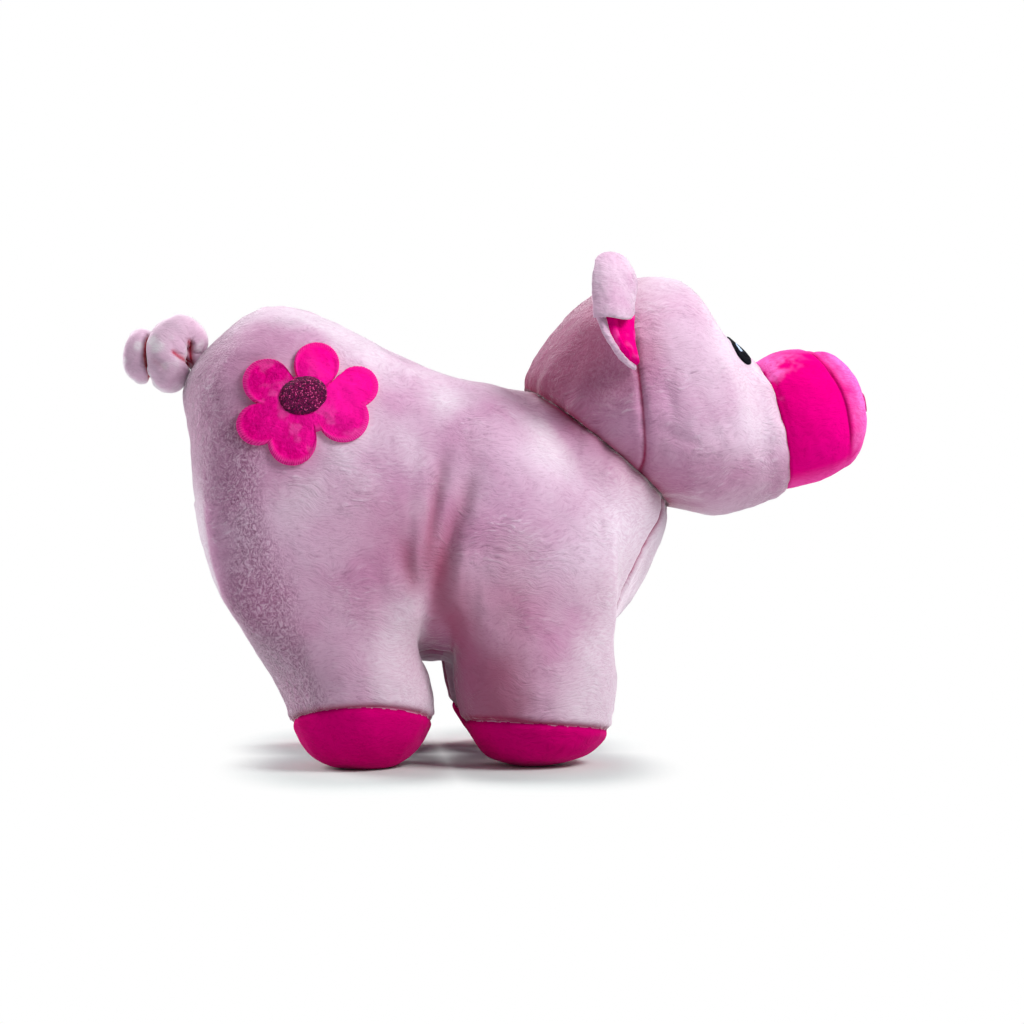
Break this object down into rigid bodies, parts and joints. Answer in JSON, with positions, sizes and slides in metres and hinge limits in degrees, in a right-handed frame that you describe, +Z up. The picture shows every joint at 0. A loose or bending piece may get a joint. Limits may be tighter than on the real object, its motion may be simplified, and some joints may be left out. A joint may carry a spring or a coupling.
{
  "type": "plush toy pig",
  "caption": "Standing stuffed pig in two-tone plush, with a domed snout, folded ears, a corkscrew tail and an appliqued flower on its rump.",
  "frame": {"origin": "middle of the bounding box, on the ground under the soles", "axes": "+X towards the snout, +Y towards the pig's left, +Z up"},
  "size_m": [0.2957, 0.1222, 0.1951],
  "materials": {
    "light_pink_plush": "matte",
    "hot_pink_plush": "matte",
    "thread": "satin",
    "dark_pink_thread": "satin",
    "glitter_cloth": "gloss",
    "fibre_filling": "matte"
  },
  "bodies": {
    "torso": {"side_panel_right": "light_pink_plush", "side_panel_left": "light_pink_plush", "underbody_panel": "light_pink_plush", "sole_front_right": "hot_pink_plush", "sole_front_left": "hot_pink_plush", "sole_rear_right": "hot_pink_plush", "sole_rear_left": "hot_pink_plush", "torso_stuffing": "fibre_filling", "leg_stuffing_front_right": "fibre_filling", "leg_stuffing_front_left": "fibre_filling", "leg_stuffing_rear_right": "fibre_filling", "leg_stuffing_rear_left": "fibre_filling", "flower_petals": "hot_pink_plush", "flower_centre": "glitter_cloth"},
    "head": {"head_back_right": "light_pink_plush", "head_back_left": "light_pink_plush", "face_right": "light_pink_plush", "face_left": "light_pink_plush", "head_stuffing": "fibre_filling", "snout_band": "hot_pink_plush", "snout_disc": "hot_pink_plush", "snout_stuffing": "fibre_filling", "nostril_right": "dark_pink_thread", "nostril_left": "dark_pink_thread", "eye_right": "thread", "eye_left": "thread"},
    "ear_right": {"ear_outer_right": "light_pink_plush", "ear_lining_right": "hot_pink_plush"},
    "ear_left": {"ear_outer_left": "light_pink_plush", "ear_lining_left": "hot_pink_plush"},
    "tail": {"tail": "light_pink_plush"}
  },
  "joints": [
    {"name": "head_turn", "type": "hinge", "parent": "torso", "child": "head", "pos_m": [0.0406, 0, 0.122], "axis": [0.6314, 0, 0.7755], "range_deg": [-12, 12], "stiffness_Nm_per_rad": 0.12},
    {"name": "ear_right_flap", "type": "hinge", "parent": "head", "child": "ear_right", "pos_m": [0.04921, -0.04068, 0.16296], "axis": [0, 0.4067, 0.9135], "range_deg": [-15, 20], "stiffness_Nm_per_rad": 0.002},
    {"name": "ear_left_flap", "type": "hinge", "parent": "head", "child": "ear_left", "pos_m": [0.04931, 0.04033, 0.16281], "axis": [0, -0.4067, 0.9135], "range_deg": [-7, 20], "stiffness_Nm_per_rad": 0.002},
    {"name": "tail_wag", "type": "hinge", "parent": "torso", "child": "tail", "pos_m": [-0.11782, 0.00001, 0.1553], "axis": [0, 0, 1], "range_deg": [-8, 8], "stiffness_Nm_per_rad": 0.003}
  ]
}
